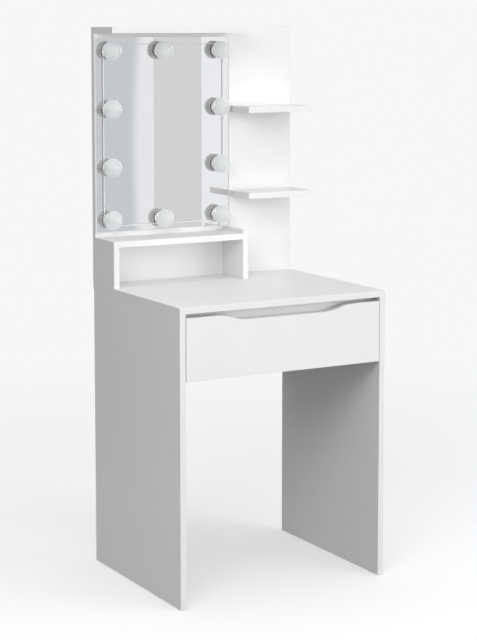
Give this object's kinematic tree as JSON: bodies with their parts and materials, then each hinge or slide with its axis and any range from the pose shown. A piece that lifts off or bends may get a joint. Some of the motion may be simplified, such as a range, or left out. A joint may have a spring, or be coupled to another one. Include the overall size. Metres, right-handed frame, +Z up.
{
  "type": "vanity table",
  "caption": "White dressing table with a drawer, an upright back panel with a mirror framed by round bulbs, a small hutch and open shelves.",
  "frame": {"origin": "on the floor, under the middle of the table", "axes": "+X to the right seen from the front, +Y to the back, +Z up"},
  "size_m": [0.6, 0.494, 1.433],
  "materials": {
    "white_melamine": "white melamine-faced board, satin, fine pearl",
    "hardboard": "white painted hardboard",
    "beech": "plain beech, fluted",
    "mirror": "silvered float glass",
    "opal_globe": "opal, glossy",
    "white_plastic": "moulded, semi-gloss",
    "button_plastic": "moulded, matte",
    "cable": "white cable sheath",
    "led_board": "white solder mask with one diode",
    "circuit_board": "green solder mask",
    "foam_tape": "double-sided foam",
    "slide_steel": "white epoxy coat",
    "roller_plastic": "nylon",
    "zinc_steel": "zinc plated",
    "glide_plastic": "polyethylene"
  },
  "bodies": {
    "table": {"adhesive_pads": "foam_tape", "back_panel": "white_melamine", "bulb_base_01": "white_plastic", "bulb_base_02": "white_plastic", "bulb_base_03": "white_plastic", "bulb_base_04": "white_plastic", "bulb_base_05": "white_plastic", "bulb_base_06": "white_plastic", "bulb_base_07": "white_plastic", "bulb_base_08": "white_plastic", "bulb_base_09": "white_plastic", "bulb_base_10": "white_plastic", "bulb_globe_01": "opal_globe", "bulb_globe_02": "opal_globe", "bulb_globe_03": "opal_globe", "bulb_globe_04": "opal_globe", "bulb_globe_05": "opal_globe", "bulb_globe_06": "opal_globe", "bulb_globe_07": "opal_globe", "bulb_globe_08": "opal_globe", "bulb_globe_09": "opal_globe", "bulb_globe_10": "opal_globe", "cabinet_rail_left": "slide_steel", "cabinet_rail_right": "slide_steel", "controller_board": "circuit_board", "controller_cover": "white_plastic", "controller_housing": "white_plastic", "front_rail": "white_melamine", "glides": "glide_plastic", "hutch_side_left": "white_melamine", "hutch_side_right": "white_melamine", "hutch_top": "white_melamine", "lead_grommet": "white_plastic", "led_boards": "led_board", "light_string_cable": "cable", "mirror_glass": "mirror", "rear_rail": "white_melamine", "shelf_lower": "white_melamine", "shelf_upper": "white_melamine", "side_panel_left": "white_melamine", "side_panel_right": "white_melamine", "table_cam_fittings": "zinc_steel", "table_dowels": "beech", "table_screws": "zinc_steel", "tabletop": "white_melamine", "top_board": "white_melamine"},
    "drawer": {"drawer_back": "white_melamine", "drawer_bottom": "hardboard", "drawer_cam_fittings": "zinc_steel", "drawer_fasteners": "zinc_steel", "drawer_front": "white_melamine", "drawer_rail_left": "slide_steel", "drawer_rail_right": "slide_steel", "drawer_side_left": "white_melamine", "drawer_side_right": "white_melamine"},
    "button": {"controller_button": "button_plastic"},
    "cabinet_roller_left": {"cabinet_roller_left": "roller_plastic"},
    "cabinet_roller_right": {"cabinet_roller_right": "roller_plastic"},
    "drawer_roller_left": {"drawer_roller_left": "roller_plastic"},
    "drawer_roller_right": {"drawer_roller_right": "roller_plastic"}
  },
  "joints": [
    {"name": "drawer_slide", "type": "slide", "parent": "table", "child": "drawer", "axis": [0, -1, 0], "range_m": [0, 0.3]},
    {"name": "cabinet_roller_left_spin", "type": "hinge", "parent": "table", "child": "cabinet_roller_left", "pos_m": [-0.27965, -0.217, 0.6015], "axis": [1, 0, 0], "range_deg": [-10, 2110]},
    {"name": "drawer_roller_left_spin", "type": "hinge", "parent": "drawer", "child": "drawer_roller_left", "pos_m": [-0.27585, 0.159, 0.6005], "axis": [1, 0, 0], "range_deg": [-10, 2110]},
    {"name": "cabinet_roller_right_spin", "type": "hinge", "parent": "table", "child": "cabinet_roller_right", "pos_m": [0.27965, -0.217, 0.6015], "axis": [1, 0, 0], "range_deg": [-10, 2110]},
    {"name": "drawer_roller_right_spin", "type": "hinge", "parent": "drawer", "child": "drawer_roller_right", "pos_m": [0.27585, 0.159, 0.6005], "axis": [1, 0, 0], "range_deg": [-10, 2110]},
    {"name": "button_press", "type": "slide", "parent": "table", "child": "button", "axis": [0, 0, 1], "range_m": [0, 0.0008], "stiffness_N_per_m": 300, "springref_m": -0.001}
  ],
  "couplings": [
    {"joint": "cabinet_roller_left_spin", "follows": "drawer_slide", "rad_per_m": 121.95},
    {"joint": "drawer_roller_left_spin", "follows": "drawer_slide", "rad_per_m": 121.95},
    {"joint": "cabinet_roller_right_spin", "follows": "drawer_slide", "rad_per_m": 121.95},
    {"joint": "drawer_roller_right_spin", "follows": "drawer_slide", "rad_per_m": 121.95}
  ]
}
